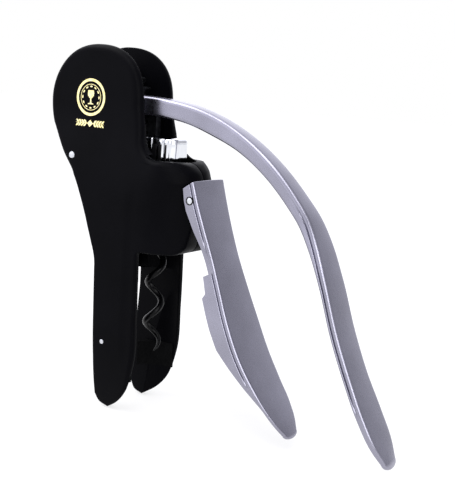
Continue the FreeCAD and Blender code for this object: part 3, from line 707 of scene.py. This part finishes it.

# a black ring round each end of the clamp pin, square in section: painted shade standing in for the shaded
# groove round the pin's head
pinGrooveShadeOutline = [(pinGrooveShade[r], pinGrooveShade[h]) for r, h in (
    ("inner", "from"), ("inner", "to"), ("outer", "to"), ("outer", "from"), ("inner", "from"))]
makePiece("clampPinGrooveShade", turnedPair(pinGrooveShadeOutline, pins["clampPin"][0]), finishes["acetal"], "clamp")
print("pins made")


# Worm and carriage

worm = {
    "wire": 1.4,
    "coilRadius": 3.1,             # of the wire's middle
    "pitch": 17.7,
    "phase": (32.0, 64.8),         # the coil's angle about Z at this height
    "tip": 26.0,
    "taper": 9.0,
    "top": 86.2,
}
carriage = {
    "rear": -13.0,
    "step": -8.0,                  # the tongue between the racks ends here
    "tongueHalf": 4.75,
    "front": 10.0,
    "foot": 4.0,                   # the front face slopes back to here at the bottom
    "half": 6.2,
    "corner": 4.0,
    "flutes": (                    # x, width and depth of each
        (-4.0, 0.3, 0.3), (-1.3, 0.3, 0.3), (4.4, 0.5, 0.5), (7.2, 0.35, 0.3),
    ),
    "slope": (89, 106),            # heights between which the front face slopes
    "levels": (                    # height, and how far the outline is drawn in
        (89.0, 0.5), (89.15, 0.2), (89.5, 0.0), (97.0, 0.0), (106.0, 0.0), (116.3, 0.0),
        (116.4, 0.12), (116.5, 0.0), (117.6, 0.0), (117.95, 0.08), (118.2, 0.28), (118.4, 0.7),
    ),
}
# Black strips laid on the carriage's chrome sides are painted reflection: solid dark bands that stand in
# for the dark surroundings the chrome mirrors
paintedReflectionStrips = {
    "strips": ((-7.8, -3.8), (-1.4, 1.2), (1.9, 3.7), (5.5, 6.3)),         # x to x
    "root": 5.6,                   # from the middle out to here, where the strip's face is
    "face": 6.24,
    "foot": 92.0,
    "top": 116.0,
    "edge": 0.12,
}


# Right-handed coil: the middle of the wire is R(cos a, sin a) with a growing 360 degrees a pitch, and
# the wire's circle lies across its direction. Its radius falls as a square root towards the tip.
def coilGrid():
    w = worm
    tapered = w["tip"] + w["taper"]                # the wire is full above this height
    z = np.r_[w["tip"] + w["taper"] * np.linspace(0, 1, 30) ** 2, np.linspace(tapered, w["top"], 150)[1:]]
    a = np.radians(w["phase"][0] + 360 * (z - w["phase"][1]) / w["pitch"])[:, None]
    radius = w["wire"] * np.sqrt(np.clip((z - w["tip"]) / w["taper"], 0, 1))[:, None, None]
    middle = np.concatenate([w["coilRadius"] * np.cos(a), w["coilRadius"] * np.sin(a), z[:, None]], 1)
    rise = w["pitch"] / (2 * np.pi)
    along = np.concatenate([-w["coilRadius"] * np.sin(a), w["coilRadius"] * np.cos(a), 0 * a + rise], 1)
    along /= np.hypot(w["coilRadius"], rise)
    outward = np.concatenate([np.cos(a), np.sin(a), 0 * a], 1)
    upward = np.cross(along, outward)
    b = np.linspace(0, 2 * np.pi, 28, endpoint=False)[None, :, None]
    ring = middle[:, None] + radius * (outward[:, None] * np.cos(b) + upward[:, None] * np.sin(b))
    return np.concatenate([ring, np.repeat(middle[-1:, None], 28, 1)]), True


shankProfile = (                       # radius and height: the collar, and the shank above it
    (0, 85.4), (4.2, 85.4), (4.4, 85.5), (4.5, 85.7), (4.5, 88.4), (4.4, 88.6), (4.2, 88.7),
    (2.0, 88.7), (2.0, 103.7), (1.7, 104.0), (0, 104.0),
)
shank = turned(shankProfile, (0, 0, 0), "z")
makePiece("worm", [coilGrid(), shank], finishes["nonstick"], "worm_group", ["worm"])


# Rings of the carriage's outline at each level, closed at both ends. Seen from above, each side runs
# from the tongue to the front with flutes shaped depth * exp(-(distance / width)^2), and a quarter
# circle turns it into the front face. Along the slope, x is drawn back in proportion.
def carriageGrid():
    c = carriage
    corner = c["front"] - c["corner"]
    turn = np.radians(np.linspace(0, 90, 12))[1:]
    x = np.r_[np.linspace(c["step"] + 0.02, corner, 70), corner + c["corner"] * np.sin(turn)]
    past = np.clip(x - corner, 0, None)
    y = c["half"] - c["corner"] + np.sqrt(np.clip(c["corner"] ** 2 - past ** 2, 0, None))
    for place, width, depth in c["flutes"]:
        y = y - depth * np.exp(-((x - place) / width) ** 2)
    x = np.r_[c["rear"], c["rear"] + 0.3, c["step"], x, c["front"], c["front"]]
    y = np.r_[c["tongueHalf"] - 0.3, c["tongueHalf"], c["tongueHalf"], y, 1.4, 0.0]
    near = np.stack([x, -y], -1)
    outline = np.concatenate([near, (near * (1, -1))[-2::-1]])
    t = np.roll(outline, -1, 0) - np.roll(outline, 1, 0)
    normal = np.stack([t[:, 1], -t[:, 0]], -1) / np.hypot(t[:, 0], t[:, 1])[:, None]
    z, inset = np.transpose(c["levels"])
    ring = outline[None] - inset[:, None, None] * normal[None]
    reach = np.interp(z, c["slope"], [c["foot"] / c["front"], 1])[:, None]
    ring[..., 0] = np.where(ring[..., 0] > 0, ring[..., 0] * reach, ring[..., 0])
    rows = np.concatenate([ring, np.broadcast_to(z[:, None, None], ring.shape[:2] + (1,))], 2)
    ends = [np.broadcast_to((-4.0, 0, z[i]), rows[:1].shape) for i in (0, -1)]
    return np.concatenate([ends[0], rows, ends[1]]), True


makePiece("carriageBlock", [carriageGrid()], finishes["chrome"], "carriage_group",
          ["carriage", "carriage_cap"])


# Flat bar between two corners x, y, z: a rectangle's outline carried along Y and drawn in by up to e
# at both ends, which a level of None closes
def barGrid(low, high, e):
    (x0, y0, z0), (x1, y1, z1) = low, high
    middle = np.array([x0 + x1, z0 + z1]) / 2
    corners = np.array([(x0, z0), (x1, z0), (x1, z1), (x0, z1)])
    t = np.arange(40) / 10
    i = t.astype(int)
    outline = corners[i] + (corners[(i + 1) % 4] - corners[i]) * (t - i)[:, None] - middle
    start = ((y0, None), (y0, e), (y0 + 0.3 * e, 0.3 * e), (y0 + e, 0))
    end = ((y1 - e, 0), (y1 - 0.3 * e, 0.3 * e), (y1, e), (y1, None))
    size = np.array([x1 - x0, z1 - z0]) / 2
    rings = []
    for y, d in start + end:
        ring = outline * (0 if d is None else (size - d) / size) + middle
        rings.append(np.stack([ring[:, 0], np.full(len(ring), y), ring[:, 1]], -1))
    return np.stack(rings), True


# the painted reflection strips, on both sides of the carriage, in black acetal
reflectionStripGrids = [barGrid((a, paintedReflectionStrips["root"], paintedReflectionStrips["foot"]), (b, paintedReflectionStrips["face"], paintedReflectionStrips["top"]), paintedReflectionStrips["edge"])
          for a, b in paintedReflectionStrips["strips"]]
reflectionStripGrids += [(grid * (1, -1, 1), True) for grid, _ in reflectionStripGrids]
makePiece("carriagePaintedReflection", reflectionStripGrids, finishes["acetal"], "carriage_group")
print("worm and carriage made")


# Gold print on the right side of the head: thin foil that follows the shell

foil = {
    "centre": (-29.9, 132.9),
    "rings": ((7.85, 6.7), (5.55, 5.3)),       # outer and inner radii
    "leaves": 12,                              # round the goblet, on a ring of this radius,
    "leafRing": 4.55,
    "leafTurn": 9,                             # each to this many degrees either side of its place,
    "leafWide": 0.34,                          # and of this half width
    "band": (-29.3, 121.9),                    # middle of the ornament below
    "bandHalf": 8.0,
    "stem": 0.16,
    "lozenge": 1.5,
    "leafPlaces": (2.0, 3.4, 4.8, 6.2),        # roots of the ornament's leaves,
    "leafReach": (1.5, 1.25),                  # how far they run out and up,
    "sprigWide": 0.42,                         # and their half width
    "rise": 0.05,
    "sink": 0.1,
}
goblet = (                                     # half width and height above the badge's middle
    (0.0, -3.0), (1.5, -3.0), (1.5, -2.7), (0.35, -2.3), (0.28, -0.6), (0.9, -0.15),
    (1.6, 0.7), (1.75, 1.7), (1.5, 2.9), (0.0, 2.9),
)


# Points of a line laid on the right shell's face: y = -(outerHalf + rise)
def layOnShell(line, rise):
    half = outerHalf(line[:, 0], line[:, 1])
    return np.stack([line[:, 0], -(half + rise), line[:, 1]], -1)


# A strip of foil between two lines of points, from just under the shell's face to just above it
def foilStrip(a, b, closed):
    up, down = foil["rise"], -foil["sink"]
    corners = ((a, up), (b, up), (b, down), (a, down), (a, up))
    return np.stack([layOnShell(line, rise) for line, rise in corners]), closed


# A pointed leaf from one point to another: half its width is wide * sin(pi t)^0.8
def leaf(start, end, wide):
    start, end = np.array(start, float), np.array(end, float)
    t = np.linspace(0, 1, 13)[:, None]
    along = end - start
    across = np.array([-along[1], along[0]]) / np.hypot(*along)
    swell = wide * np.sin(np.pi * t) ** 0.8
    return foilStrip(start + along * t + across * swell, start + along * t - across * swell, False)


# Two rings, the goblet and its mirror image, a ring of leaves, and below them a stem that swells by
# sqrt(1 - t^2), a lozenge and a sprig of paired leaves to each side
def badgeGrids():
    f = foil
    centre = np.array(f["centre"])
    allRound = np.linspace(0, 360, 96, endpoint=False)
    grids = [foilStrip(circlePoints(centre, outer, allRound), circlePoints(centre, inner, allRound), True)
             for outer, inner in f["rings"]]
    shape = np.array(goblet)
    grids.append(foilStrip(centre + shape * (1, 1), centre + shape * (-1, 1), False))
    for turn in np.linspace(0, 360, f["leaves"], endpoint=False):
        ends = circlePoints(centre, f["leafRing"], np.array([turn - f["leafTurn"], turn + f["leafTurn"]]))
        grids.append(leaf(*ends, f["leafWide"]))
    middle = np.array(f["band"])
    t = np.linspace(-1, 1, 41)[:, None]
    stem = middle + f["bandHalf"] * t * (1, 0)
    thick = f["stem"] * np.sqrt(1 - t ** 2) * (0, 1)
    grids.append(foilStrip(stem + thick, stem - thick, False))
    lozenge = f["lozenge"] * np.array([(-1, 0), (0, 1), (1, 0)]) + middle
    grids.append(foilStrip(lozenge, 2 * middle - lozenge[::-1], False))
    out, up = f["leafReach"]
    for side in (-1, 1):
        for at in f["leafPlaces"]:
            for rise in (-1, 1):
                root = middle + (side * at, 0.15 * rise)
                grids.append(leaf(root, root + (side * out, up * rise), f["sprigWide"]))
    return grids


makePiece("badgeFoil", badgeGrids(), finishes["gold"], "body", ["badge"])
print("badge made")


# Camera, light and floor

camera = {
    "azimuth": 32.0,
    "elevation": 10.0,
    "roll": 4.2,
    "lens": 67.68,
    "place": (0.23675, -0.32175, 0.14263),         # metres, as everything below
}
studio = {
    "world": "#f8f8ff",
    "worldStrength": (1.9, 0.6),                   # behind the body, and in front of the handles
    "worldSpan": (-0.5, 0.55),                     # X of the directions where these are reached
    "floorColour": "#909090",
    "floorGlow": 0.70,
    "floorHalf": 6,
    "floorDrop": 0.0004,
    "boxSize": 0.70,
    "boxPower": 5.0,                               # watts
    "softboxes": (                                 # name, place and what it is turned to
        ("keyLight", (0.88, -0.64, 0.46), (0.05, 0, 0.07)),
        ("topLight", (0.25, -0.45, 1.10), (0.05, 0, 0.07)),
        ("leftLight", (-0.50, -0.20, 1.00), (0.02, 0, 0.10)),
    ),
    "backdropRadius": 5.0,
}


# The view looks along -back. Level and upright are the unrolled axes, and roll turns them about back.
def addCamera():
    a, e, r = (np.radians(camera[k]) for k in ("azimuth", "elevation", "roll"))
    back = np.array([np.sin(a) * np.cos(e), -np.cos(a) * np.cos(e), np.sin(e)])
    level = np.array([np.cos(a), np.sin(a), 0])
    upright = np.cross(back, level)
    right = np.cos(r) * level + np.sin(r) * upright
    up = np.cos(r) * upright - np.sin(r) * level
    data = bpy.data.cameras.new("camera")
    data.lens = camera["lens"]
    data.clip_start, data.clip_end = 0.01, 20
    view = bpy.data.objects.new("camera", data)
    bpy.context.scene.collection.objects.link(view)
    matrix = np.eye(4)
    matrix[:3, 0], matrix[:3, 1], matrix[:3, 2], matrix[:3, 3] = right, up, back, camera["place"]
    view.matrix_world = Matrix(matrix)
    bpy.context.scene.camera = view


addCamera()
bpy.context.scene.view_settings.view_transform = "Standard"

world = bpy.data.worlds.new("studio")
bpy.context.scene.world = world
world.use_nodes = True
# its strength falls in a straight line along X
across = addNode(world.node_tree, "ShaderNodeSeparateXYZ", links={
    "Vector": addNode(world.node_tree, "ShaderNodeTexCoord").outputs["Generated"]})
(low, high), (behind, before) = studio["worldSpan"], studio["worldStrength"]
shade = addNode(world.node_tree, "ShaderNodeMapRange", links={"Value": across.outputs["X"]}, values={
    "From Min": low, "From Max": high, "To Min": behind, "To Max": before})
world.node_tree.links.new(shade.outputs["Result"], world.node_tree.nodes["Background"].inputs["Strength"])
world.node_tree.nodes["Background"].inputs["Color"].default_value = linearColour(studio["world"])


# Matt paint with an even glow, for floor and backdrop
def plainMaterial(name, colour, glow):
    material, _, shader, _ = newMaterial(name)
    shader.inputs["Base Color"].default_value = linearColour(colour)
    shader.inputs["Roughness"].default_value = 0.9
    shader.inputs["Specular IOR Level"].default_value = 0.0
    shader.inputs["Emission Color"].default_value = linearColour("#ffffff")
    shader.inputs["Emission Strength"].default_value = glow
    return material


floorMesh = bpy.data.meshes.new("floor")
half, drop = studio["floorHalf"], -studio["floorDrop"]
floorCorners = [(-half, -half, drop), (half, -half, drop), (half, half, drop), (-half, half, drop)]
floorMesh.from_pydata(floorCorners, [], [(0, 1, 2, 3)])
floor = bpy.data.objects.new("floor", floorMesh)
bpy.context.scene.collection.objects.link(floor)
floorMesh.materials.append(plainMaterial("pale floor", studio["floorColour"], studio["floorGlow"]))


# A square light turned to its target, with its sides level
def addSoftLight(name, place, target, size, power):
    data = bpy.data.lights.new(name, "AREA")
    data.shape, data.size, data.energy = "SQUARE", size, power
    light = bpy.data.objects.new(name, data)
    bpy.context.scene.collection.objects.link(light)
    back = np.array(place, float) - np.array(target, float)
    back /= np.linalg.norm(back)
    across = np.cross((0, 0, 1.0), back)
    across /= np.linalg.norm(across)
    up = np.cross(back, across)
    matrix = np.eye(4)
    matrix[:3, 0], matrix[:3, 1], matrix[:3, 2], matrix[:3, 3] = across, up, back, place
    light.matrix_world = Matrix(matrix)


# three softboxes in an arc over the near side, which the rounded edges of lever and handle mirror
for name, place, target in studio["softboxes"]:
    addSoftLight(name, place, target, studio["boxSize"], studio["boxPower"])

backdropMesh = bpy.data.meshes.new("backdrop")
ball = bmesh.new()
bmesh.ops.create_icosphere(ball, subdivisions=4, radius=studio["backdropRadius"])
ball.to_mesh(backdropMesh)
ball.free()
backdrop = bpy.data.objects.new("backdrop", backdropMesh)
bpy.context.scene.collection.objects.link(backdrop)
backdropMesh.materials.append(plainMaterial("pale backdrop", "#000000", 1.0))
backdrop.visible_diffuse = False               # only the camera sees it
backdrop.visible_glossy = False
backdrop.visible_transmission = False
backdrop.visible_shadow = False
print("camera, light and floor made")
